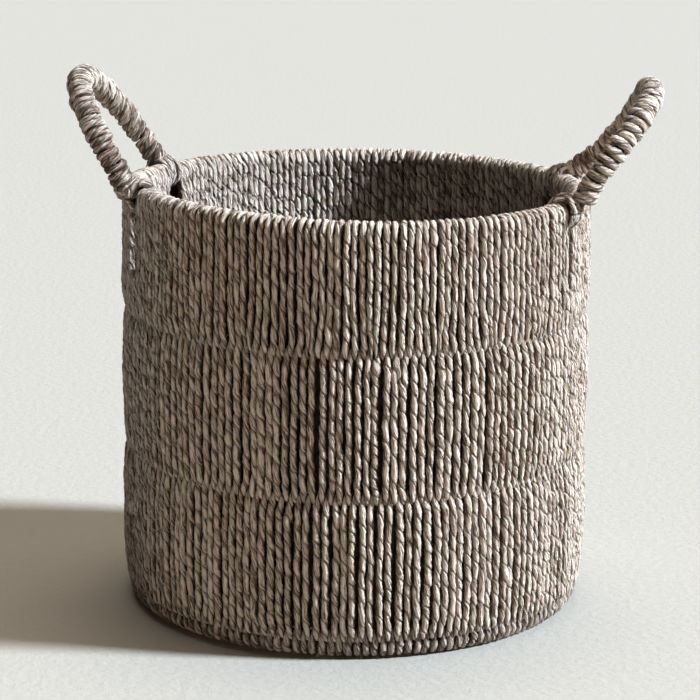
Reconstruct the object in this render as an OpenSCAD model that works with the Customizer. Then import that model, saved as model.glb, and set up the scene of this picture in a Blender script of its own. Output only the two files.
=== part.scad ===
// Round open basket: twisted rush cord wound over a welded wire frame, with two fixed loop handles.
// Z is up, the floor is at z = 0, and the handles stand over +X and -X.

/* [Basket] */
// Outer diameter of the wound wall
basket_d = 400; // [390:1:420]
// Height of the rim above the floor
rim_h = 363; // [350:1:380]
// Height of the joint between the upper and the middle tier
upper_joint_h = 256; // [250:1:262]
// Height of the joint between the middle and the lower tier
lower_joint_h = 137; // [130:1:145]
// Height of the band that turns under to the floor
base_band_h = 17; // [16:0.5:18]
// Radius of the rounded edge between the wall and the floor
foot_r = 12; // [8:1:14]

/* [Cord and wire] */
// Thickness of the twisted cord
cord_d = 7.5; // [7:0.1:8]
// Thickness of the frame's wire
wire_d = 5; // [4:0.1:5.5]
// Clearance between the wire and the cord wound over it
wire_gap = 0.2; // [0.1:0.05:0.3]

/* [Handles] */
// Distance between the two legs of a handle, centre to centre
handle_span = 156; // [140:1:164]
// Length of a handle from the rim to the middle of its grip
handle_rise = 108; // [100:1:125]
// Lean of a handle outwards from upright, in degrees
handle_lean = 35; // [28:1:42]
// Thickness of a handle over its winding
handle_d = 21; // [19:0.5:23]
// Angle round the basket of the slot for each handle leg
slot_angle = 5; // [4.5:0.1:6]
// Thickness of the lashing that ties a leg to the rim
lashing_d = 24; // [22:0.5:25]

/* [Base] */
// Radius where the radial winding of the base meets the coiled middle
base_coil_r = 100; // [80:1:120]
// Radius of the small ring that joins the wires under the middle
hub_r = 20; // [18:1:30]

/* [Hidden] */
$fn = 96;

cord_colour = [0.52, 0.46, 0.40];
tier_colour = [0.47, 0.42, 0.36];
lower_colour = [0.42, 0.37, 0.33];
handle_colour = [0.58, 0.52, 0.45];
wire_colour = [0.16, 0.14, 0.13];

// The wall is the wire with one layer of cord on each side of it.
wall_t = wire_d + 2 * cord_d;
outer_r = basket_d / 2;
inner_r = outer_r - wall_t;
ring_r = outer_r - wall_t / 2;

// Each ring sits just above the joint where two tiers of cord pass round it.
ring_lift = wire_d / 2 + 1;
rim_ring_z = rim_h - wall_t / 2;
upper_ring_z = upper_joint_h + ring_lift;
lower_ring_z = lower_joint_h + ring_lift;
base_ring_z = base_band_h + ring_lift;
tip_r = 6;

// The base is as thick as the wall, with its wires between the two layers of cord.
base_t = wall_t;
floor_ring_r = base_coil_r + wall_t / 2;
floor_ring_z = base_t / 2;
weld_gap = 0.1;
spoke_z = floor_ring_z + wire_d + weld_gap;

// Uprights stand inside the rings and the handle legs stand outside them.
upright_count = 8;
upright_r = ring_r - wire_d - weld_gap;
upright_top_z = rim_ring_z + wire_d / 2;
leg_r = ring_r + wire_d + weld_gap;
leg_az = asin(handle_span / 2 / leg_r);
leg_x = leg_r * cos(leg_az);
leg_foot_z = upper_ring_z - wire_d / 2;
handle_foot_z = rim_h - 5;
handle_arch_r = handle_span / 2;
handle_straight = handle_rise - handle_arch_r;
handle_winding_start = 8;

// A bead of weld, a little thicker than the wire, stiffens each bend at the foot of a handle.
foot_bead_d = wire_d + 1;

front_az = 270;
back_az = 90;
right_az = 0;
left_az = 180;
slot_edge_az = leg_az + slot_angle / 2;
side_panel_angle = 2 * (leg_az - slot_angle / 2);
long_panel_angle = 180 - 2 * slot_edge_az;
lashing_side_gap = 0.1;

// ---------------------------------------------------------------- wire frame

module ring_wire(r, z, extra = 0) {
    rotate_extrude()
        translate([r, z])
            circle(d = wire_d + 2 * extra);
}

module rod(from_z, to_z, d) {
    translate([0, 0, from_z])
        cylinder(d = d, h = to_z - from_z);
}

// One bent wire: a spoke under the base that turns up into the wall.
module upright_wire(number, extra = 0) {
    d = wire_d + 2 * extra;
    spoke_start = hub_r + wire_d / 2 + weld_gap;
    rotate([0, 0, (number - 1) * 360 / upright_count]) {
        translate([spoke_start - extra, 0, spoke_z])
            rotate([0, 90, 0])
                cylinder(d = d, h = upright_r - spoke_start + extra);
        translate([upright_r, 0, spoke_z])
            sphere(d = d);
        translate([upright_r, 0, 0])
            rod(spoke_z, upright_top_z + extra, d);
    }
}

// The arch of a handle, standing on the XY plane with its legs along Z and its grip along Y.
module handle_loop(d, start) {
    for (side = [-1, 1])
        translate([0, side * handle_arch_r, 0])
            rod(start, handle_straight, d);
    translate([0, 0, handle_straight])
        rotate([90, 0, 90])
            rotate_extrude(angle = 180, start = 0)
                translate([handle_arch_r, 0])
                    circle(d = d);
}

module place_handle(side) {
    mirror([side < 0 ? 1 : 0, 0, 0])
        translate([leg_x, 0, handle_foot_z])
            rotate([0, handle_lean, 0])
                children();
}

// A handle's wire bends upright at the rim and runs down its slots to the upper ring.
module handle_wire(side, extra = 0) {
    d = wire_d + 2 * extra;
    place_handle(side)
        handle_loop(d, 0);
    mirror([side < 0 ? 1 : 0, 0, 0])
        for (leg = [-1, 1])
            translate([leg_x, leg * handle_arch_r, 0]) {
                rod(leg_foot_z - extra, handle_foot_z, d);
                translate([0, 0, handle_foot_z])
                    sphere(d = foot_bead_d + 2 * extra);
            }
}

module frame_channels(ring_z) {
    ring_wire(ring_r, ring_z, wire_gap);
    for (number = [1 : upright_count])
        upright_wire(number, wire_gap);
}

// -------------------------------------------------------------- wound panels

// Section of a tier: flat sides, with the cord tips rounded where they turn in at the bottom.
module tier_section(low_z, high_z) {
    translate([inner_r, low_z + tip_r])
        square([wall_t, high_z - low_z - tip_r]);
    translate([inner_r + tip_r, low_z])
        square([wall_t - 2 * tip_r, tip_r]);
    for (x = [inner_r + tip_r, outer_r - tip_r])
        translate([x, low_z + tip_r])
            circle(r = tip_r);
}

// Section of the upper tier, which rolls over the rim ring.
module rim_section() {
    tier_section(upper_joint_h, rim_ring_z);
    translate([ring_r, rim_ring_z])
        circle(d = wall_t);
}

module upper_panel(middle_az, angle) {
    difference() {
        rotate([0, 0, middle_az - angle / 2])
            rotate_extrude(angle = angle)
                rim_section();
        ring_wire(ring_r, rim_ring_z, wire_gap);
        frame_channels(upper_ring_z);
    }
}

module wound_tier(low_z, high_z, ring_z) {
    difference() {
        rotate_extrude()
            tier_section(low_z, high_z);
        frame_channels(ring_z);
    }
}

module front_panel() {
    color(cord_colour) upper_panel(front_az, long_panel_angle);
}

module back_panel() {
    color(cord_colour) upper_panel(back_az, long_panel_angle);
}

module left_panel() {
    color(cord_colour) upper_panel(left_az, side_panel_angle);
}

module right_panel() {
    color(cord_colour) upper_panel(right_az, side_panel_angle);
}

module middle_tier() {
    color(tier_colour) wound_tier(lower_joint_h, upper_joint_h, lower_ring_z);
}

module lower_tier() {
    color(tier_colour) wound_tier(base_band_h, lower_joint_h, base_ring_z);
}

// Section of the radial winding that floors the basket and turns up at its edge.
module base_section() {
    translate([base_coil_r, 0])
        square([inner_r - wire_gap - base_coil_r, base_t]);
    translate([base_coil_r, 0])
        square([outer_r - foot_r - base_coil_r, base_band_h]);
    translate([base_coil_r, foot_r])
        square([outer_r - base_coil_r, base_band_h - foot_r]);
    translate([outer_r - foot_r, foot_r])
        circle(r = foot_r);
}

module base_winding() {
    color(lower_colour)
        difference() {
            rotate_extrude()
                base_section();
            frame_channels(base_ring_z);
            ring_wire(floor_ring_r, floor_ring_z, wire_gap);
        }
}

// The middle of the base is one flat coil of cord round the hub.
module base_coil() {
    color(lower_colour)
        difference() {
            cylinder(r = base_coil_r, h = base_t);
            ring_wire(hub_r, spoke_z, wire_gap);
            for (number = [1 : upright_count])
                upright_wire(number, wire_gap);
        }
}

// ------------------------------------------------------- handles and lashings

module handle_winding(side) {
    color(handle_colour)
        place_handle(side)
            difference() {
                handle_loop(handle_d, handle_winding_start);
                handle_loop(wire_d + 2 * wire_gap, 0);
            }
}

module lashing(side, leg) {
    angle = slot_angle - 2 * lashing_side_gap;
    middle_az = side > 0 ? leg * leg_az : 180 - leg * leg_az;
    color(handle_colour)
        difference() {
            rotate([0, 0, middle_az - angle / 2])
                rotate_extrude(angle = angle)
                    translate([ring_r, rim_ring_z])
                        circle(d = lashing_d);
            ring_wire(ring_r, rim_ring_z, wire_gap);
            handle_wire(side, wire_gap);
        }
}

// ----------------------------------------------------------------- the parts

front_panel();
back_panel();
left_panel();
right_panel();
middle_tier();
lower_tier();
base_winding();
base_coil();
handle_winding(-1);  // left_handle_winding
handle_winding(1);  // right_handle_winding
lashing(-1, -1);  // left_front_lashing
lashing(-1, 1);  // left_back_lashing
lashing(1, -1);  // right_front_lashing
lashing(1, 1);  // right_back_lashing
color(wire_colour) ring_wire(ring_r, rim_ring_z);  // rim_ring
color(wire_colour) ring_wire(ring_r, upper_ring_z);  // upper_ring
color(wire_colour) ring_wire(ring_r, lower_ring_z);  // lower_ring
color(wire_colour) ring_wire(ring_r, base_ring_z);  // base_ring
color(wire_colour) ring_wire(floor_ring_r, floor_ring_z);  // floor_ring
color(wire_colour) ring_wire(hub_r, spoke_z);  // hub_ring
for (number = [1 : upright_count])
    color(wire_colour) upright_wire(number);
color(wire_colour) handle_wire(-1);  // left_handle_wire
color(wire_colour) handle_wire(1);  // right_handle_wire
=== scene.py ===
import math

import bpy
import numpy as np
from mathutils import Matrix, Vector


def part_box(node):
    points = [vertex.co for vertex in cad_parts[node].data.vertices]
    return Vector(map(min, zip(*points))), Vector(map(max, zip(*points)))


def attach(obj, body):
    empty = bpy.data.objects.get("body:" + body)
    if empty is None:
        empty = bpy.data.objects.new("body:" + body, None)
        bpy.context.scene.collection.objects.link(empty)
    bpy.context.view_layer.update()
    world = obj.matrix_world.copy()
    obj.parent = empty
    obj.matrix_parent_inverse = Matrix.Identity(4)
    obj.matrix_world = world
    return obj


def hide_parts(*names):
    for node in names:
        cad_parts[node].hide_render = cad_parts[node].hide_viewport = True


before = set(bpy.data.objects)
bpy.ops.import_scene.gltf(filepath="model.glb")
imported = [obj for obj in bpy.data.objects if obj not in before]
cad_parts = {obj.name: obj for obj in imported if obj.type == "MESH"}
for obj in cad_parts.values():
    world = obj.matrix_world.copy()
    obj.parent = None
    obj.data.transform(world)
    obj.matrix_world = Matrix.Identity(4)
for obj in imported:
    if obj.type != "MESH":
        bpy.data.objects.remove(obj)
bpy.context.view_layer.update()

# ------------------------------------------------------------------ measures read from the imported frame

MM = 0.001
FULL = 2 * math.pi
WIRE_R = 2.5 * MM
CORD_R = 3.75 * MM
SLOT_AZ = math.radians(23.55)


def ring_radius(node):
    lo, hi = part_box(node)
    return (hi[0] - lo[0]) / 2 - WIRE_R


def ring_height(node):
    lo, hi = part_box(node)
    return (lo[2] + hi[2]) / 2


RING_R = ring_radius("rim_ring")
FLOOR_RING_R = ring_radius("floor_ring")
Z_RIM = ring_height("rim_ring")
Z_UPPER = ring_height("upper_ring")
Z_LOWER = ring_height("lower_ring")
Z_BASE = ring_height("base_ring")
Z_FLOOR_RING = ring_height("floor_ring")
rng = np.random.default_rng(7)

# ------------------------------------------------------------------ mesh building


def smooth(x):
    x = np.clip(x, 0.0, 1.0)
    return x * x * (3 - 2 * x)


def unit(v):
    return v / np.maximum(np.linalg.norm(v, axis=-1, keepdims=True), 1e-12)


def mesh_object(name, verts, quads, attributes, caps=()):
    me = bpy.data.meshes.new(name)
    me.vertices.add(len(verts))
    me.vertices.foreach_set("co", np.ascontiguousarray(verts, dtype=np.float32).ravel())
    loops = quads.ravel()
    starts = np.arange(0, quads.size, 4)
    if len(caps):
        cap_loops = np.concatenate([np.asarray(c) for c in caps])
        sizes = np.array([len(c) for c in caps])
        cap_starts = quads.size + np.concatenate([[0], np.cumsum(sizes)[:-1]])
        loops = np.concatenate([loops, cap_loops])
        starts = np.concatenate([starts, cap_starts])
    me.loops.add(len(loops))
    me.loops.foreach_set("vertex_index", loops.astype(np.int32))
    me.polygons.add(len(starts))
    me.polygons.foreach_set("loop_start", starts.astype(np.int32))
    me.polygons.foreach_set("use_smooth", np.ones(len(starts), dtype=bool))
    me.update(calc_edges=True)
    for key, values in attributes.items():
        layer = me.attributes.new(key, "FLOAT", "POINT")
        layer.data.foreach_set("value", np.ascontiguousarray(values, dtype=np.float32).ravel())
    me.validate()
    ob = bpy.data.objects.new(name, me)
    bpy.context.scene.collection.objects.link(ob)
    return ob


SECTION = np.radians([-90, -72, -45, -15, 15, 45, 72, 90, 108, 135, 165, 195, 225, 252])
CREASE = np.array([1, 0.3, 0, 0, 0, 0, 0.3, 1, 0.3, 0, 0, 0, 0, 0.3])
BUNDLE = 10.5 * MM


def two_ply_outline(depth):
    """Outline of two plies pressed together: nearly round, with a narrow crease on each side."""
    crown = 1.0 - 0.06 * np.abs(np.sin(SECTION))
    return crown - depth * CREASE


def run_lengths(path, closed):
    """Each station's neighbours, its distance along the cord, and the cord's whole length."""
    if closed:
        ahead, back = np.roll(path, -1, axis=1), np.roll(path, 1, axis=1)
        step = np.linalg.norm(ahead - path, axis=-1)
        s = np.concatenate([np.zeros((len(path), 1)), np.cumsum(step, axis=1)[:, :-1]], axis=1)
        return ahead, back, s, step.sum(axis=1, keepdims=True)
    ahead = np.concatenate([path[:, 1:], 2 * path[:, -1:] - path[:, -2:-1]], axis=1)
    back = np.concatenate([2 * path[:, :1] - path[:, 1:2], path[:, :-1]], axis=1)
    step = np.linalg.norm(ahead - path, axis=-1)
    s = np.concatenate([np.zeros((len(path), 1)), np.cumsum(step[:, :-1], axis=1)], axis=1)
    return ahead, back, s, s[:, -1:]


def uneven_twist(s, total, turns, phase, seed):
    """How far the plies have turned at each station; a real twist tightens and slackens along the cord."""
    own = np.asarray(seed)[:, None]
    lap = FULL * s / total
    wave = (0.55 * np.sin(3 * lap + 7 * own) + 0.40 * np.sin(7 * lap + 13 * own)
            + 0.22 * np.sin(15 * lap + 5 * own))
    psi = FULL * turns * s / total + wave + np.asarray(phase)[:, None]
    # Plies lie flat, so a crease crosses the outer face quickly and runs longer down the sides.
    return psi + 0.34 * np.sin(2 * psi)


def lumps(s, total, seed):
    """Leaf bundles in the plies make the outline lumpy; the waves close up round a closed turn."""
    a = SECTION
    own = np.asarray(seed, float)[:, None, None]
    lap = FULL * (s / total)[..., None]
    laps = np.maximum(np.round(total / BUNDLE), 1)[..., None]
    return (0.050 * np.sin(3 * a + laps * lap + 9 * own)
            + 0.045 * np.sin(2 * a - (laps * 2 + 1) * lap + 17 * own)
            + 0.055 * np.sin(a + np.round(laps * 0.6) * lap + 23 * own)
            + 0.035 * np.sin(4 * a + (laps * 3 + 2) * lap + 31 * own))


class Cords:
    """Collects runs of twisted cord and turns them into one mesh."""

    def __init__(self):
        self.verts, self.quads, self.caps, self.count = [], [], [], 0
        self.attr = {"along": [], "around": [], "strand": [], "groove": [], "tone": [], "painted_light_facing": []}

    def add(self, path, normal, half_w, half_t, pitch, phase, seed, tone=0.0, closed=True, depth=0.30):
        """path and normal are (cords, stations, 3); half_w and half_t (cords, stations) or a number."""
        k, n, _ = path.shape
        count = len(SECTION)
        ahead, back, s, total = run_lengths(path, closed)
        t = unit(ahead - back)
        nrm = unit(normal - (normal * t).sum(-1, keepdims=True) * t)
        side = np.cross(t, nrm)
        half_w = np.broadcast_to(np.asarray(half_w, float), (k, n))[..., None]
        half_t = np.broadcast_to(np.asarray(half_t, float), (k, n))[..., None]
        pitch = np.broadcast_to(np.asarray(pitch, float), (k,))[:, None]
        turns = total / pitch
        if closed:
            turns = np.maximum(np.round(turns * 2), 1) / 2
        psi = uneven_twist(s, total, turns, phase, seed)
        a = SECTION
        ang = a[None, None, :] + psi[..., None]
        r = two_ply_outline(depth)[None, None, :] * (1 + lumps(s, total, seed))
        x, y = r * np.cos(ang), r * np.sin(ang)
        pts = (path[:, :, None, :] + side[:, :, None, :] * (half_w * x)[..., None]
               + nrm[:, :, None, :] * (half_t * y)[..., None])
        base = self.count
        idx = base + np.arange(k * n * count).reshape(k, n, count)
        nxt = np.roll(idx, -1, axis=2)
        if closed:
            i0, j0 = idx, nxt
            i1, j1 = np.roll(idx, -1, axis=1), np.roll(nxt, -1, axis=1)
        else:
            i0, j0, i1, j1 = idx[:, :-1], nxt[:, :-1], idx[:, 1:], nxt[:, 1:]
            for c in range(k):
                self.caps.append(idx[c, 0, ::-1])
                self.caps.append(idx[c, -1, :])
        q = np.stack([i0, j0, j1, i1], axis=-1).reshape(-1, 4)
        self.verts.append(pts.reshape(-1, 3))
        self.quads.append(q)
        self.count += k * n * count
        shape = (k, n, count)
        self.attr["along"].append(np.broadcast_to(s[..., None], shape).ravel())
        # Fibres run nearly along the cord, so their angle turns back against the twist.
        self.attr["around"].append((a[None, None, :] + 0.35 * (psi - psi[:, :1])[..., None]
                                    + np.zeros(shape)).ravel())
        ply = 0.5 + 0.5 * np.sign(np.cos(a + 1e-3))
        seed_arr = np.asarray(seed)[:, None, None] + 0.37 * ply[None, None, :]
        self.attr["strand"].append(np.broadcast_to(seed_arr, shape).ravel())
        self.attr["groove"].append(np.broadcast_to(CREASE, shape).ravel())
        # How far each point faces outward; the cord material uses it to paint the crowns lighter and the sides
        # darker, as painted light and shade.
        self.attr["painted_light_facing"].append((np.sin(ang) + np.zeros(shape)).ravel())
        tone = np.asarray(tone, float)
        tone = tone[..., None] if tone.ndim == 2 else tone.reshape(-1, 1, 1)
        self.attr["tone"].append((tone + np.zeros(shape)).ravel())

    def build(self, name, nodes, slot, material):
        verts = np.concatenate(self.verts)
        quads = np.concatenate(self.quads)
        attrs = {key: np.concatenate(v) for key, v in self.attr.items()}
        ob = mesh_object(name, verts, quads, attrs, self.caps)
        ob.data.materials.append(material)
        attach(ob, "root")
        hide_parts(*nodes)
        return ob


# ------------------------------------------------------------------ materials


def nodes_of(name):
    mat = bpy.data.materials.new(name)
    mat.use_nodes = True
    tree = mat.node_tree
    return mat, tree, tree.nodes["Principled BSDF"]


def attribute(tree, name):
    node = tree.nodes.new("ShaderNodeAttribute")
    node.attribute_name = name
    return node.outputs["Fac"]


def math_node(tree, op, a, b=None):
    node = tree.nodes.new("ShaderNodeMath")
    node.operation = op
    for i, v in enumerate((a, b)):
        if v is None:
            continue
        if isinstance(v, (int, float)):
            node.inputs[i].default_value = v
        else:
            tree.links.new(v, node.inputs[i])
    return node.outputs[0]


def ramp(tree, fac, stops):
    node = tree.nodes.new("ShaderNodeValToRGB")
    els = node.color_ramp.elements
    while len(els) < len(stops):
        els.new(0.5)
    for el, (pos, col) in zip(els, stops):
        el.position = pos
        el.color = (*col, 1)
    tree.links.new(fac, node.inputs["Fac"])
    return node.outputs["Color"]


def mix(tree, fac, a, b, blend="MIX"):
    node = tree.nodes.new("ShaderNodeMix")
    node.data_type = "RGBA"
    node.blend_type = blend
    for socket, v in ((node.inputs["Factor"], fac), (node.inputs["A"], a), (node.inputs["B"], b)):
        if isinstance(v, (int, float)):
            socket.default_value = v
        elif isinstance(v, tuple):
            socket.default_value = (*v, 1)
        else:
            tree.links.new(v, socket)
    return node.outputs["Result"]


def noise(tree, vector, scale, detail=3.0, rough=0.6):
    node = tree.nodes.new("ShaderNodeTexNoise")
    node.inputs["Scale"].default_value = scale
    node.inputs["Detail"].default_value = detail
    node.inputs["Roughness"].default_value = rough
    tree.links.new(vector, node.inputs["Vector"])
    return node.outputs["Fac"]


def add_bump(tree, bsdf, height, strength, distance):
    node = tree.nodes.new("ShaderNodeBump")
    node.inputs["Strength"].default_value = strength
    node.inputs["Distance"].default_value = distance
    tree.links.new(height, node.inputs["Height"])
    tree.links.new(node.outputs["Normal"], bsdf.inputs["Normal"])


def combine(tree, x, y, z):
    node = tree.nodes.new("ShaderNodeCombineXYZ")
    for i, v in enumerate((x, y, z)):
        if isinstance(v, (int, float)):
            node.inputs[i].default_value = v
        else:
            tree.links.new(v, node.inputs[i])
    return node.outputs[0]


def cord_material(name, dark, mid, light):
    """Twisted grass cord: leaf strips of mixed tone, with painted highlight on the crowns and painted shade on
    the sides and in the creases.
    """
    mat, tree, bsdf = nodes_of(name)
    along = attribute(tree, "along")
    around = attribute(tree, "around")
    strand = attribute(tree, "strand")
    groove = attribute(tree, "groove")
    tone = attribute(tree, "tone")
    painted_light_facing = attribute(tree, "painted_light_facing")
    cx = math_node(tree, "COSINE", around)
    sy = math_node(tree, "SINE", around)
    seed = math_node(tree, "MULTIPLY", strand, 37.0)

    def round_cord(across, lengthwise):
        x = math_node(tree, "ADD", math_node(tree, "MULTIPLY", cx, across), seed)
        y = math_node(tree, "MULTIPLY", sy, across)
        return combine(tree, x, y, math_node(tree, "MULTIPLY", along, lengthwise))

    # Leaf strips are narrow across the cord and long down it.
    strips = noise(tree, round_cord(1.9, 75.0), 1.0, 2.0, 0.55)
    fibres = noise(tree, round_cord(3.5, 130.0), 1.0, 3.0, 0.65)
    patches = noise(tree, round_cord(0.5, 95.0), 1.0, 2.0, 0.6)
    specks = noise(tree, round_cord(8.0, 360.0), 1.0, 2.0, 0.7)
    each = noise(tree, combine(tree, seed, 3.1, 0.0), 0.83, 1.0, 0.5)

    def swing(value, gain):
        return math_node(tree, "MULTIPLY", math_node(tree, "SUBTRACT", value, 0.5), gain)

    value = math_node(tree, "ADD", 0.5, swing(strips, 2.35))
    for part in (swing(fibres, 1.95), swing(patches, 0.80), swing(each, 0.55), swing(specks, 1.1), tone):
        value = math_node(tree, "ADD", value, part)
    # Painted light and shade: the outward-facing crowns are painted lighter and the sides darker.
    crown = math_node(tree, "MULTIPLY", math_node(tree, "SUBTRACT", painted_light_facing, 0.60), 0.50)
    value = math_node(tree, "ADD", value, crown)
    colour = ramp(tree, value, [(0.08, dark), (0.46, mid), (0.86, light)])
    # Some strands keep a green-grey cast and others turn a little pink.
    tint = ramp(tree, noise(tree, round_cord(0.35, 42.0), 0.61, 2.0, 0.5),
                [(0.34, (0.95, 1.0, 0.92)), (0.5, (1.0, 1.0, 1.0)), (0.66, (1.0, 0.93, 0.93))])
    colour = mix(tree, 0.8, colour, tint, "MULTIPLY")
    # Painted shade in the creases: dark and deep in places, closing up in others.
    deep = math_node(tree, "ADD", 0.70, swing(patches, 2.2))
    deep = math_node(tree, "MAXIMUM", math_node(tree, "MINIMUM", deep, 1.0), 0.25)
    crease = math_node(tree, "MULTIPLY", groove, deep)
    colour = mix(tree, crease, colour, tuple(0.22 * c for c in dark))
    tree.links.new(colour, bsdf.inputs["Base Color"])
    rough = math_node(tree, "ADD", math_node(tree, "MULTIPLY", fibres, 0.25), 0.62)
    tree.links.new(rough, bsdf.inputs["Roughness"])
    bsdf.inputs["Specular IOR Level"].default_value = 0.2
    bsdf.inputs["Sheen Weight"].default_value = 0.10
    bsdf.inputs["Sheen Roughness"].default_value = 0.5
    relief = math_node(tree, "ADD", math_node(tree, "MULTIPLY", fibres, 1.1),
                       math_node(tree, "MULTIPLY", strips, 1.1))
    add_bump(tree, bsdf, relief, 1.0, 3.8 * MM)
    return mat


def wire_material():
    """Dark coated iron wire with rubbed and rusty patches."""
    mat, tree, bsdf = nodes_of("wire_coat")
    coord = tree.nodes.new("ShaderNodeTexCoord").outputs["Object"]
    patch = noise(tree, coord, 90.0, 4.0, 0.65)
    grain = noise(tree, coord, 900.0, 2.0, 0.5)
    colour = ramp(tree, patch, [(0.35, (0.012, 0.010, 0.009)), (0.6, (0.030, 0.024, 0.020)),
                                (0.8, (0.090, 0.045, 0.025))])
    tree.links.new(colour, bsdf.inputs["Base Color"])
    rough = math_node(tree, "ADD", math_node(tree, "MULTIPLY", patch, 0.4), 0.45)
    tree.links.new(rough, bsdf.inputs["Roughness"])
    add_bump(tree, bsdf, grain, 0.35, 0.3 * MM)
    return mat


wall_cord = cord_material("wall_cord", (0.085, 0.047, 0.028), (0.478, 0.382, 0.302), (0.76, 0.680, 0.598))
# The base cord's colours are the wall cord's made darker: painted shade at the foot of the basket.
base_cord = cord_material("base_cord", (0.055, 0.034, 0.024), (0.270, 0.220, 0.182), (0.60, 0.54, 0.48))
handle_cord = cord_material("handle_cord", (0.095, 0.055, 0.034), (0.430, 0.352, 0.288), (0.80, 0.735, 0.655))
wire_coat = wire_material()

# ------------------------------------------------------------------ the wall: closed turns round two rings


TURNS = 168
RIM_TURNS = 192
# How far a cord's middle runs from the wire's: clear of it, and pinched between the next tier's turns.
RUN_GAP = WIRE_R + CORD_R
PINCH_GAP = 4.5 * MM
# The upper tier's ends lie over the lower tier's at a shared ring.
SHOULDER = 2.5 * MM
TUCK = 0.9 * MM
# Length of one full twist of the two plies.
TWIST = 28.5 * MM
SLOT_BOTTOM = 0.285
SLOT_TOP = 0.362
# Gaps beside the handle legs: azimuth, then how many degrees they open before and after it.
SLOTS = ((SLOT_AZ, 2.0, 2.2), (-SLOT_AZ, 0.7, 0.7),
         (math.pi - SLOT_AZ, 3.0, 2.4), (math.pi + SLOT_AZ, 3.9, 2.3))


def wrap(a):
    """The same angle between minus half a turn and plus half a turn."""
    return (a + math.pi) % FULL - math.pi


def profile(z_top, z_low, top_gap, low_gap, step_out=2.0, step_in=3.2):
    """Stations of one turn, as r, z, the side it is on and how far outside the wires it is."""
    rows = []
    out = low_gap + SHOULDER
    for a in np.radians(np.linspace(-180, 0, 9, endpoint=False)):
        reach = (out if math.cos(a) > 0 else low_gap) * math.cos(a)
        rows.append((RING_R + reach, z_low + low_gap * math.sin(a), 0, (math.cos(a) + 1) / 2))
    height = z_top - z_low
    for u in np.linspace(0, 1, int(height / (step_out * MM)), endpoint=False):
        rows.append((0.0, z_low + u * height, 1, 1.0))
    out = top_gap + (TUCK if top_gap < RUN_GAP else 0.0)
    for a in np.radians(np.linspace(0, 180, 12, endpoint=False)):
        reach = (out if math.cos(a) > 0 else top_gap) * math.cos(a)
        rows.append((RING_R + reach, z_top + top_gap * math.sin(a), 2, (math.cos(a) + 1) / 2))
    for u in np.linspace(1, 0, int(height / (step_in * MM)), endpoint=False):
        rows.append((0.0, z_low + u * height, 3, 0.0))
    return np.array(rows)


def left_lift(az, z):
    """The rim stands a few millimetres higher at the left handle and along the front beside it."""
    rise = 0
    for centre, height, spread in ((193, 6.0, 30), (238, 3.6, 30)):
        d = wrap(az - math.radians(centre))
        rise = rise + height * MM * np.exp(-(d / math.radians(spread)) ** 2)
    return rise * smooth((z - Z_UPPER) / (Z_RIM - Z_UPPER))


def front_sag(az, z):
    """Along the front the two joints hang a few millimetres below their nominal height."""
    ahead = np.clip(-np.sin(az), 0, 1) ** 2
    at_upper = np.exp(-((z - Z_UPPER) / (45 * MM)) ** 2)
    at_lower = np.exp(-((z - Z_LOWER) / (45 * MM)) ** 2)
    return MM * ahead * (2.2 * at_upper + 4.2 * at_lower)


def open_slots(az, az0, zr, outness):
    """Bends the turns beside the handle legs away from them, each on its own side, and slims them."""
    lift = smooth((zr - SLOT_BOTTOM) / (18 * MM)) * (0.55 + 0.45 * smooth((SLOT_TOP - zr) / (30 * MM)))
    inner = (1 - outness)[None, :]
    width = np.ones(az.shape)
    for centre, before, after in SLOTS:
        away = wrap(az0 - centre)
        own = np.where(away > 0, 1.0, -1.0)[:, None]
        d = wrap(az - centre) * own
        reach = np.exp(-np.abs(d) / math.radians(7.0))
        open_by = np.where(own > 0, after, before) * (1 + 0.30 * inner)
        across = np.where(np.abs(away) < 0.1, 1.0, 0.0)[:, None] * np.maximum(-d, 0)
        az = az + own * (np.radians(open_by) * reach + across) * lift[None, :]
        width = width * (1 - (0.28 + 0.16 * inner) * reach * lift[None, :])
    return az, width


def turn_normals(r, z, az):
    """Square to each turn in its own upright plane, and outward where the turn climbs outside."""
    tr, tz = np.roll(r, -1) - np.roll(r, 1), np.roll(z, -1) - np.roll(z, 1)
    length = np.hypot(tr, tz)
    nr, nz = (tz / length)[None, :], (-tr / length)[None, :]
    return np.stack([nr * np.cos(az), nr * np.sin(az), nz + np.zeros(az.shape)], axis=-1)


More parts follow.
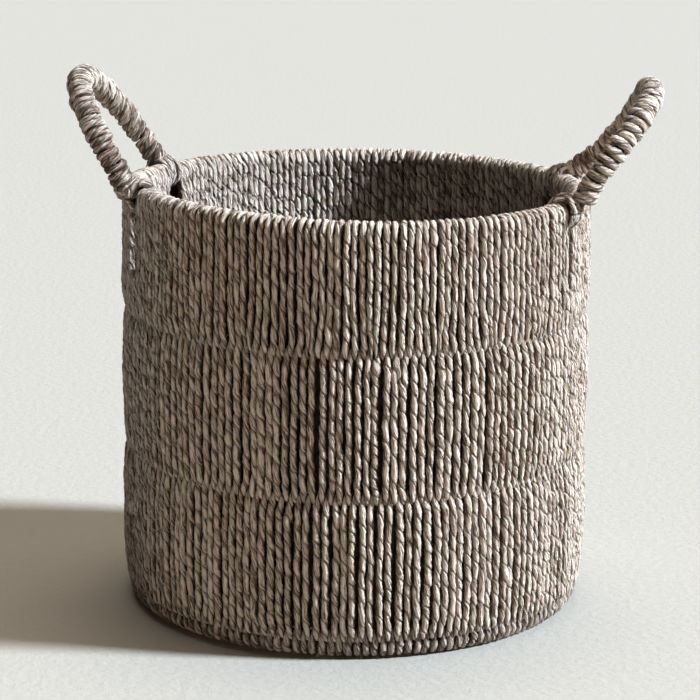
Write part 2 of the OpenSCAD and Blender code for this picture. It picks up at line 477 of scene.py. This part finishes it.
def tier(count, z_top, z_low, first, top_shared, bow=2.4 * MM, slots=False, knots=(), gaps=(), low_az=None,
         low_size=None):
    """Turns of cord between two rings; at a shared ring they are pinched between the next tier's turns."""
    top_gap = PINCH_GAP if top_shared else RUN_GAP
    low_gap = PINCH_GAP
    rows = profile(z_top, z_low, top_gap, low_gap)
    n = len(rows)
    side, outness, zr = rows[:, 2], rows[:, 3], rows[:, 1]
    u = np.clip((zr - z_low) / (z_top - z_low), 0, 1)
    near_low = 1 - smooth((zr - z_low) / (15 * MM))
    near_top = (1 - smooth((z_top - zr) / (15 * MM))) * (1.0 if top_shared else 0.0)
    near = np.maximum(near_low, near_top)
    gap = RUN_GAP + (low_gap - RUN_GAP) * near_low + (top_gap - RUN_GAP) * near_top
    gap_out = gap + SHOULDER * near_low + TUCK * near_top
    if top_shared:
        swell = bow * np.sin(math.pi * u) ** 0.6
    else:
        swell = bow * (1 - u) ** 0.7 * np.minimum(1, u / 0.12) ** 0.6
    r = rows[:, 0].copy()
    r = np.where(side == 1, RING_R + gap_out + swell, r)
    r = np.where(side == 3, RING_R - gap + 0.6 * swell, r)
    # Even spacing, then a slow wave, jitter, and the wider gaps that open in the outside of the wall.
    step = FULL / count
    az0 = (np.arange(count) + first) * step
    drift_wave = 0.55 * np.sin(5 * az0 + rng.uniform(0, 6)) + 0.4 * np.sin(13 * az0 + rng.uniform(0, 6))
    jitter = rng.normal(0, 0.065, count)
    loose = ((1 - near) * outness + 0.35 * (1 - near) * (1 - outness))[None, :]
    az = az0[:, None] + (drift_wave * 0.28 + jitter)[:, None] * step * loose
    if low_az is not None:
        az = az + (low_az - az0)[:, None] * (1 - smooth((zr - z_low) / (42 * MM)))[None, :]
    for centre, width in gaps:
        d = wrap(az - math.radians(centre))
        push = math.radians(width) / 2 * np.exp(-np.abs(d) / math.radians(5.0))
        az = az + np.sign(d) * push * outness[None, :] * (1 - near)[None, :]
    # The inside run lies half a turn further on, and the cord crosses over at the rings.
    az = az + 0.5 * step * (1 - outness)[None, :]
    k1, k2, k3 = (rng.uniform(0, FULL, (count, 1)) for _ in range(3))
    lap = np.arange(n) / n * FULL
    waver = (0.34 * np.sin(3 * lap[None, :] + k1) + 0.26 * np.sin(8 * lap[None, :] + k2)
             + 0.16 * np.sin(19 * lap[None, :] + k3)) * MM / RING_R
    calm = (1 - 0.75 * near)[None, :] * (0.45 + 0.55 * outness)[None, :]
    az = az + waver * calm
    w_scale = np.ones((count, n))
    if slots:
        az, w_scale = open_slots(az, az0, zr, outness)
    w_out = 0.5 * step * (RING_R + RUN_GAP) * 0.865
    w_in = 0.5 * step * (RING_R - RUN_GAP) * 1.34
    w_run = w_in + (w_out - w_in) * outness
    # At a shared ring the ends narrow to blunt tips, and the two tiers' tips fit into each other.
    taper_low = np.clip((zr - (z_low - 6.6 * MM)) / (9.5 * MM), 0.10, 1) ** 0.7
    taper_top = np.clip(((z_top + 3.5 * MM) - zr) / (9 * MM), 0.12, 1) ** 0.7 if top_shared else 1.0
    w = w_run * np.minimum(taper_low, taper_top)
    t = CORD_R * (1 - 0.28 * near)
    t = np.where((side == 0) | ((side == 2) & top_shared), np.minimum(t, 2.3 * MM), t)
    size = rng.normal(1.0, 0.05, (count, 1))
    beads = 1 + 0.05 * np.sin(11 * lap[None, :] + k3) + 0.04 * np.sin(23 * lap[None, :] + k1)
    half_w = w[None, :] * (size * outness[None, :] + (1 - outness[None, :])) * w_scale
    half_w = half_w * (1 + (beads - 1) * outness[None, :])
    if low_size is not None:
        squeeze = (1 - smooth((zr - z_low) / (24 * MM)))[None, :]
        half_w = half_w * (1 + (low_size[:, None] - 1) * squeeze)
    half_t = t[None, :] * (0.5 + 0.5 * size)
    knot = np.zeros((count, n))
    for centre, height, amount in knots:
        which = np.argmin(np.abs(wrap(az0 - math.radians(centre))))
        knot[which] += amount * np.exp(-((zr - height) / (5 * MM)) ** 2) * outness
    half_w = half_w * (1 + knot)
    half_t = half_t * (1 + 0.6 * knot)
    sway = rng.normal(0, 0.42 * MM, (count, 1)) + 0.30 * MM * np.sin(4 * lap[None, :] + k2)
    dr = 1.6 * MM * knot + sway * calm
    rr = r[None, :] + dr * np.where(r > RING_R, 1.0, -1.0)[None, :]
    zz = zr[None, :] + left_lift(az, zr[None, :]) - front_sag(az, zr[None, :])
    path = np.stack([rr * np.cos(az), rr * np.sin(az), zz], axis=-1)
    return with_draws({"path": path, "normal": turn_normals(r, zr, az), "w": half_w, "t": half_t, "az": az0})


def with_draws(part):
    """Gives every turn its own twist, phase, pattern and tone."""
    count = len(part["az"])
    part["pitch"] = TWIST * rng.normal(1.0, 0.13, count)
    part["phase"] = rng.uniform(0, FULL, count)
    part["seed"] = rng.uniform(0, 50, count)
    part["tone"] = rng.normal(0, 0.06, count)
    return part


def emit(cords, part, keep):
    """Adds the turns that keep marks."""
    if keep.any():
        cords.add(part["path"][keep], part["normal"][keep], part["w"][keep], part["t"][keep],
                  part["pitch"][keep], part["phase"][keep], part["seed"][keep], part["tone"][keep])


# The rim tier has more turns than the tier under it, so here and there two of its tips share one gap.
spots = (np.arange(RIM_TURNS) + 0.5) * TURNS / RIM_TURNS - 0.5
gap_no = np.round(spots).astype(int)
sharers = np.array([np.sum(gap_no == g) for g in gap_no])
rank = np.array([np.sum(gap_no[:i] == g) for i, g in enumerate(gap_no)])
low_az = (gap_no + 0.5 + np.where(sharers > 1, (rank - 0.5) * 0.46, 0.0)) * FULL / TURNS
low_size = np.where(sharers > 1, 0.60, 1.08)

# Gaps: azimuth and width in degrees. Knots: azimuth in degrees, height, and how much thicker.
upper = tier(RIM_TURNS, Z_RIM, Z_UPPER, 0.5, False, bow=1.8 * MM, slots=True, low_az=low_az,
             low_size=low_size, knots=((-68.2, 0.349, 0.45), (-69.5, 0.335, 0.3), (-93.0, 0.272, 0.25)))
middle = tier(TURNS, Z_UPPER, Z_LOWER, 0.0, True, gaps=((-94.6, 0.40), (-84.9, 0.25), (-79.8, 0.35)),
              knots=((-81.5, 0.247, 0.5), (-77.0, 0.243, 0.55), (-75.0, 0.236, 0.4), (-117, 0.18, 0.3),
                     (-58, 0.215, 0.35)))
lower = tier(TURNS, Z_LOWER, Z_BASE, 0.5, True, gaps=((-84.9, 0.30), (-70.6, 0.35), (-128.5, 1.0)),
             knots=((-49.0, 0.062, 0.45), (-46.8, 0.055, 0.3), (-101, 0.122, 0.3)))

a_up = wrap(upper["az"])
panels = {
    "front_panel": (a_up < -SLOT_AZ) & (a_up > -math.pi + SLOT_AZ),
    "back_panel": (a_up > SLOT_AZ) & (a_up < math.pi - SLOT_AZ),
    "right_panel": np.abs(a_up) <= SLOT_AZ,
    "left_panel": np.abs(a_up) >= math.pi - SLOT_AZ,
}
for node, keep in panels.items():
    c = Cords()
    emit(c, upper, keep)
    c.build(node + "_cord", (node,), "wall_cord", wall_cord)

for part, node in ((middle, "middle_tier"), (lower, "lower_tier")):
    a = wrap(part["az"]) % FULL
    for i, name in enumerate(("right_back", "left_back", "left_front", "right_front")):
        c = Cords()
        emit(c, part, (a >= i * math.pi / 2) & (a < (i + 1) * math.pi / 2))
        c.build(f"{node}_{name}", (node,), "wall_cord", wall_cord)

# ------------------------------------------------------------------ the base


def base_part():
    """Turns from the base ring under the foot to the floor ring, and back along the top."""
    foot = 8.75 * MM
    r_out = RING_R + 4.0 * MM
    low, high = CORD_R, 2 * Z_FLOOR_RING - CORD_R
    rows = []
    # Over the base ring and down its outside first, then round the foot.
    for a in np.radians(np.linspace(180, 0, 9)):
        rows.append((RING_R + PINCH_GAP * math.cos(a), Z_BASE + PINCH_GAP * math.sin(a)))
    rows.append((r_out, Z_BASE - 4 * MM))
    for a in np.radians(np.linspace(0, -90, 8)):
        rows.append((r_out - foot + foot * math.cos(a), low + foot + foot * math.sin(a)))
    for r in np.linspace(r_out - foot - 3 * MM, FLOOR_RING_R + 3 * MM, 26):
        rows.append((r, low))
    for a in np.radians(np.linspace(-90, -270, 9)):
        rows.append((FLOOR_RING_R + 6.25 * MM * math.cos(a), Z_FLOOR_RING + 6.25 * MM * math.sin(a)))
    for r in np.linspace(FLOOR_RING_R + 4 * MM, RING_R - 12 * MM, 20):
        rows.append((r, high))
    rows += [(RING_R - 9 * MM, high + 0.8 * MM), (RING_R - 6.2 * MM, Z_BASE - 1.4 * MM)]
    rows = np.array(rows)
    n = len(rows)
    r, z = rows[:, 0], rows[:, 1]
    step = FULL / TURNS
    az0 = np.arange(TURNS) * step
    inside = np.zeros(n)
    inside[-26:] = 1
    near = np.exp(-((z - Z_BASE) / (6 * MM)) ** 2) * (r > RING_R - 10 * MM)
    az = az0[:, None] + (rng.normal(0, 0.08, TURNS) * step)[:, None] * (1 - near)[None, :]
    az = az + 0.5 * step * inside[None, :]
    size = rng.normal(1.0, 0.05, (TURNS, 1))
    full = np.minimum(0.5 * step * r * 0.98, CORD_R)
    taper = np.where(r > RING_R - 10 * MM, np.clip((Z_BASE + 3.0 * MM - z) / (9 * MM), 0.12, 1) ** 0.7, 1.0)
    taper = np.where(inside > 0, np.maximum(taper, 0.7), taper)
    w = full * taper
    t = CORD_R * (1 - 0.30 * near) * np.clip(0.55 + 0.45 * (r - FLOOR_RING_R) / (30 * MM), 0.6, 1)
    path = np.stack([r[None, :] * np.cos(az), r[None, :] * np.sin(az), np.tile(z, (TURNS, 1))], axis=-1)
    # These turns run down the outside, so their outward normal is the other one.
    return with_draws({"path": path, "normal": -turn_normals(r, z, az), "w": w[None, :] * size,
                       "t": t[None, :] * (0.7 + 0.3 * size), "az": az0})


base = base_part()
a = wrap(base["az"]) % FULL
for i, name in enumerate(("back", "front")):
    c = Cords()
    emit(c, base, (a >= i * math.pi) & (a < (i + 1) * math.pi))
    c.build(f"base_winding_{name}", ("base_winding",), "base_cord", base_cord)

coil = Cords()
coil_r = FLOOR_RING_R - 10 * MM
turns = (coil_r - CORD_R * 1.3) / (2 * CORD_R * 0.98)
# One flat spiral under the other, each facing away from the middle of the base.
for layer_z, sign in ((CORD_R, -1), (2 * Z_FLOOR_RING - CORD_R, 1)):
    # Even steps along the spiral rather than in angle.
    th = FULL * turns * np.sqrt(np.linspace(0.0006, 1, 1500))
    rad = CORD_R * 0.6 + (coil_r - CORD_R * 1.4) * th / (FULL * turns)
    p = np.stack([rad * np.cos(th), rad * np.sin(th), np.full_like(th, layer_z)], -1)[None]
    nrm = np.zeros_like(p)
    nrm[..., 2] = sign
    coil.add(p, nrm, CORD_R, CORD_R, 31 * MM, np.array([0.3]), np.array([3.0 + sign]), closed=False)
coil.build("base_coil_cord", ("base_coil",), "base_cord", base_cord)

# ------------------------------------------------------------------ handles

ARCH_R = 78 * MM
LEG_R = RING_R + 5.1 * MM
LEG_X = LEG_R * math.cos(math.asin(ARCH_R / LEG_R))
FOOT_Z = 0.358
KNEE_Z = 0.352
LEG_END_Z = 0.257
# Each handle was bent by hand: its lean and its back leg's extra lean in degrees, its height, how far its front
# foot is set off outwards, and how much higher the whole handle sits.
BEND = {1: (38.3, 16.0, 0.112, 11.0 * MM, 0.0), -1: (33.4, 0.0, 0.1055, 6.0 * MM, 2.0 * MM)}
# Turns of cord on each handle, how far above the front and back foot they start, and the cord's half width
# in millimetres.
WRAPS = {1: (38, 7 * MM, 7 * MM, 4.2), -1: (44, 14 * MM, 6 * MM, 3.6)}


def handle_path(side, n, start, end):
    """Points up one leg, over the arch and down the other, each with three directions of its own."""
    lean0, twist, rise, foot_out, dz = BEND[side]
    straight = rise - ARCH_R
    length = 2 * straight + math.pi * ARCH_R
    s = np.linspace(start, length - end, n)
    y = np.where(s < straight, -ARCH_R, np.where(s > length - straight, ARCH_R, 0.0))
    v = np.where(s < straight, s, np.where(s > length - straight, length - s, 0.0))
    on = (s >= straight) & (s <= length - straight)
    ang = (s - straight) / ARCH_R
    y = np.where(on, -ARCH_R * np.cos(ang), y)
    v = np.where(on, straight + ARCH_R * np.sin(ang), v)
    back = (y / ARCH_R + 1) / 2
    lean = np.radians(lean0 + twist * back * (1 - (v / rise) ** 2))
    x = LEG_X + v * np.sin(lean) + foot_out * (1 - back) * np.exp(-v / 0.03)
    z = FOOT_Z + v * np.cos(lean) + dz
    centre = np.stack([side * x, y, z], -1)
    tang = unit(np.gradient(centre, axis=0))
    flat = np.stack([side * np.cos(lean), 0 * y, -np.sin(lean)], -1)
    flat = unit(flat - (flat * tang).sum(-1, keepdims=True) * tang)
    return centre, tang, flat, np.cross(tang, flat) * side


def handle_cord_wrap(side, seed):
    """One cord wound in a spiral from foot to foot."""
    c = Cords()
    n_turns, start, end, cord_w = WRAPS[side]
    n = n_turns * 24
    centre, tang, flat, out = handle_path(side, n, start, end)
    pos = np.linspace(0, 1, n)
    th = FULL * n_turns * pos + 0.7 * np.sin(19 * pos) + 0.35 * np.sin(53 * pos)
    slim = np.exp(-((centre[:, 2] - FOOT_Z) / 0.036) ** 2)
    uneven = 0.45 * np.sin(47 * pos) + 0.50 * np.sin(131 * pos) + 0.45 * np.sin(211 * pos)
    bulge = (7.2 - 1.3 * slim + uneven) * MM
    d = out * np.cos(th)[:, None] + flat * np.sin(th)[:, None]
    # Each turn lies aslant, its outer side nearer the front foot.
    slant = (2.0 * np.sin(th + 0.4) + 0.5 * np.sin(167 * pos)) * MM
    p = centre + d * bulge[:, None] + tang * slant[:, None]
    broad = (cord_w + 0.40 * np.sin(83 * pos) + 0.30 * np.sin(197 * pos)) * MM
    # The wraps are darker toward the feet.
    near_feet = np.exp(-((centre[:, 2] - FOOT_Z) / (42 * MM)) ** 2)
    # The left handle's wraps are painted darker than the right's, as shade on the side away from the light.
    tone = (0.04 if side > 0 else -0.08) - 0.36 * near_feet + 0.08 * np.sin(71 * pos)
    c.add(p[None], d[None], broad[None], 3.7 * MM, 34 * MM, np.array([0.0]), np.array([seed]), tone[None],
          closed=False, depth=0.20)
    return c


def wire_tube(name, node, points):
    """A bare wire along the given points."""
    tang = unit(np.gradient(points, axis=0))
    e1 = unit(np.cross(tang, np.array([0.3, 0.0, 1.0])))
    e2 = np.cross(tang, e1)
    a = np.linspace(0, FULL, 12, endpoint=False)
    ring = e1[:, None] * np.cos(a)[None, :, None] + e2[:, None] * np.sin(a)[None, :, None]
    pts = points[:, None] + WIRE_R * ring
    m, k = pts.shape[:2]
    idx = np.arange(m * k).reshape(m, k)
    nxt = np.roll(idx, -1, axis=1)
    quads = np.stack([idx[:-1], nxt[:-1], nxt[1:], idx[1:]], -1).reshape(-1, 4)
    ob = mesh_object(name, pts.reshape(-1, 3), quads, {}, [idx[0, ::-1], idx[-1]])
    ob.data.materials.append(wire_coat)
    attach(ob, "root")
    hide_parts(node)


for side, prefix in ((1, "right"), (-1, "left")):
    c = handle_cord_wrap(side, 11.0 + side)
    c.build(f"{prefix}_handle_cord", (f"{prefix}_handle_winding",), "handle_cord", handle_cord)
    arch = handle_path(side, 90, 2 * MM, 2 * MM)[0]
    # Straight legs run from the knees under the rim down to their ends in the slots.
    heights = np.linspace(LEG_END_Z, KNEE_Z, 14, endpoint=False)
    front_leg = np.stack([np.full(14, side * LEG_X), np.full(14, -ARCH_R), heights], -1)
    back_leg = front_leg[::-1] * (1, -1, 1)
    route = np.concatenate([front_leg, arch, back_leg])
    wire_tube(f"{prefix}_handle_wire_bent", f"{prefix}_handle_wire", route)

# ------------------------------------------------------------------ lashings


def lashing(side, leg, node):
    """Crossed turns of cord round the rim and the foot of one handle leg."""
    c = Cords()
    az = leg * SLOT_AZ if side > 0 else math.pi - leg * SLOT_AZ
    e_r = np.array([math.cos(az), math.sin(az), 0.0])
    e_t = np.array([-math.sin(az), math.cos(az), 0.0])
    e_z = np.array([0.0, 0.0, 1.0])
    th = np.linspace(0, FULL, 40, endpoint=False)
    # Place along the rim, slant in degrees, reach out and up, and lift of each turn.
    loops = ((-7.0, 18, 10.8, 10.8, 0.0), (-3.6, -26, 12.0, 12.4, 0.8), (-0.6, 24, 12.8, 13.0, 0.2),
             (2.6, -20, 12.2, 12.0, 0.6), (5.4, 14, 11.6, 11.4, 0.0), (8.2, -12, 10.8, 10.6, -0.2),
             (0.0, 2, 10.2, 9.6, -0.5))
    rise = float(left_lift(np.array(az), Z_RIM))
    for i, (off, yaw_deg, ra, rb, lift) in enumerate(loops):
        b = math.radians(yaw_deg)
        e1 = math.cos(b) * e_r + math.sin(b) * e_t
        centre = e_r * (RING_R + 3.2 * MM) + e_z * (Z_RIM + rise + (1.4 + lift) * MM) + e_t * off * MM
        p = centre + MM * (ra * np.cos(th)[:, None] * e1 + rb * np.sin(th)[:, None] * e_z)
        d = unit(np.cos(th)[:, None] * e1 + np.sin(th)[:, None] * e_z)
        c.add(p[None], d[None], 2.7 * MM, 2.7 * MM, 22 * MM, np.array([float(i)]),
              np.array([20.0 + i + 3 * side + leg]))
    if side < 0 and leg < 0:
        # This one is bulkier: crossed turns climb from the rim to the handle's wraps.
        foot, up, _, _ = handle_path(side, 60, 0.0, 0.2)
        for i, (at, tilt, size) in enumerate(((5, 38, 7.6), (9, -30, 7.4), (14, 26, 7.2), (7, -52, 8.0))):
            k = int(np.argmin(np.abs(np.linalg.norm(foot - foot[0], axis=1) - at * MM)))
            e1 = unit(np.cross(up[k], e_t))
            e2 = math.cos(math.radians(tilt)) * e_t + math.sin(math.radians(tilt)) * up[k]
            p = foot[k] + MM * size * (np.cos(th)[:, None] * e1 + 1.15 * np.sin(th)[:, None] * e2)
            d = unit(np.cos(th)[:, None] * e1 + np.sin(th)[:, None] * e2)
            c.add(p[None], d[None], 2.9 * MM, 2.7 * MM, 30 * MM, np.array([0.7 * i]), np.array([40.0 + i]))
    c.build(node + "_cord", (node,), "handle_cord", handle_cord)


for side, prefix in ((1, "right"), (-1, "left")):
    for leg, word in ((-1, "front"), (1, "back")):
        lashing(side, leg, f"{prefix}_{word}_lashing")

# ------------------------------------------------------------------ rings and uprights keep their CAD shape

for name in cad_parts:
    ob = bpy.data.objects.get(name)
    if ob is not None and not ob.hide_render:
        ob.data.materials.clear()
        ob.data.materials.append(wire_coat)

# ------------------------------------------------------------------ floor, light and camera


def stage_material(name, colour, bump, scale):
    mat, tree, bsdf = nodes_of(name)
    coord = tree.nodes.new("ShaderNodeTexCoord").outputs["Object"]
    grain = noise(tree, coord, scale, 5.0, 0.65)
    shade = ramp(tree, grain, [(0.3, tuple(0.94 * v for v in colour)), (0.7, colour)])
    tree.links.new(shade, bsdf.inputs["Base Color"])
    bsdf.inputs["Roughness"].default_value = 0.9
    add_bump(tree, bsdf, grain, bump, 2.0 * MM)
    return mat


def stage_plane(name, corners, material):
    me = bpy.data.meshes.new(name)
    me.from_pydata(corners, [], [(0, 1, 2, 3)])
    ob = bpy.data.objects.new(name, me)
    bpy.context.scene.collection.objects.link(ob)
    me.materials.append(material)
    return ob


stage_plane("floor", [(-12, -12, 0), (12, -12, 0), (12, 12, 0), (-12, 12, 0)],
            stage_material("floor_pile", (0.358, 0.347, 0.313), 0.5, 120.0))

world = bpy.data.worlds.new("world")
bpy.context.scene.world = world
world.use_nodes = True
world.node_tree.nodes["Background"].inputs["Color"].default_value = (1.0, 0.86, 0.72, 1)
world.node_tree.nodes["Background"].inputs["Strength"].default_value = 0.045


def add_light(name, kind, energy, colour, towards):
    """A light that shines from the direction towards; an area light is then put in its place."""
    data = bpy.data.lights.new(name, kind)
    data.energy = energy
    data.color = colour
    ob = bpy.data.objects.new(name, data)
    bpy.context.scene.collection.objects.link(ob)
    ob.rotation_euler = Vector(towards).to_track_quat("Z", "Y").to_euler()
    return data, ob


key_az, key_el = math.radians(-3.2), math.radians(33)
key, _ = add_light("key", "SUN", 9.6, (0.89, 0.99, 1.11), (
    math.cos(key_az) * math.cos(key_el), math.sin(key_az) * math.cos(key_el), math.sin(key_el)))
key.angle = math.radians(8)

# Slightly from behind, so that the outside of the front stays in the fill light alone.
overhead, _ = add_light("overhead", "SUN", 2.1, (1.0, 0.87, 0.74), (0.0, 0.21, 0.98))
overhead.angle = math.radians(34)

# The warm fill faces the middle of the wall.
FILL_AT = Vector((1.5, -3.4, 0.26))
fill, fill_ob = add_light("fill", "AREA", 36, (1.0, 0.69, 0.45), FILL_AT - Vector((0, 0, 0.2)))
fill_ob.location = FILL_AT
fill.shape = "RECTANGLE"
fill.size, fill.size_y = 1.8, 0.4

cam = bpy.data.cameras.new("camera")
cam.sensor_width = 36.0
cam.lens = 133.3131
cam_ob = bpy.data.objects.new("camera", cam)
bpy.context.scene.collection.objects.link(cam_ob)
# The camera looks down a little; the whole view is then turned round the basket.
pitch, yaw, roll, turn = 0.2307, -0.0021, 0.0093, math.radians(3.3)
fwd = Vector((math.sin(yaw) * math.cos(pitch), math.cos(yaw) * math.cos(pitch), -math.sin(pitch)))
right = Vector((math.cos(yaw), -math.sin(yaw), 0))
up = right.cross(fwd)
r_axis = math.cos(roll) * right + math.sin(roll) * up
u_axis = -math.sin(roll) * right + math.cos(roll) * up
rot = Matrix.Rotation(turn, 3, "Z")
basis = rot @ Matrix((r_axis, u_axis, -fwd)).transposed()
cam_pos = rot @ Vector((0.0, -2.2, 0.73106))
cam_ob.matrix_world = Matrix.Translation(cam_pos) @ basis.to_4x4()
bpy.context.scene.camera = cam_ob
bpy.context.scene.view_settings.view_transform = "Standard"

bpy.context.view_layer.update()
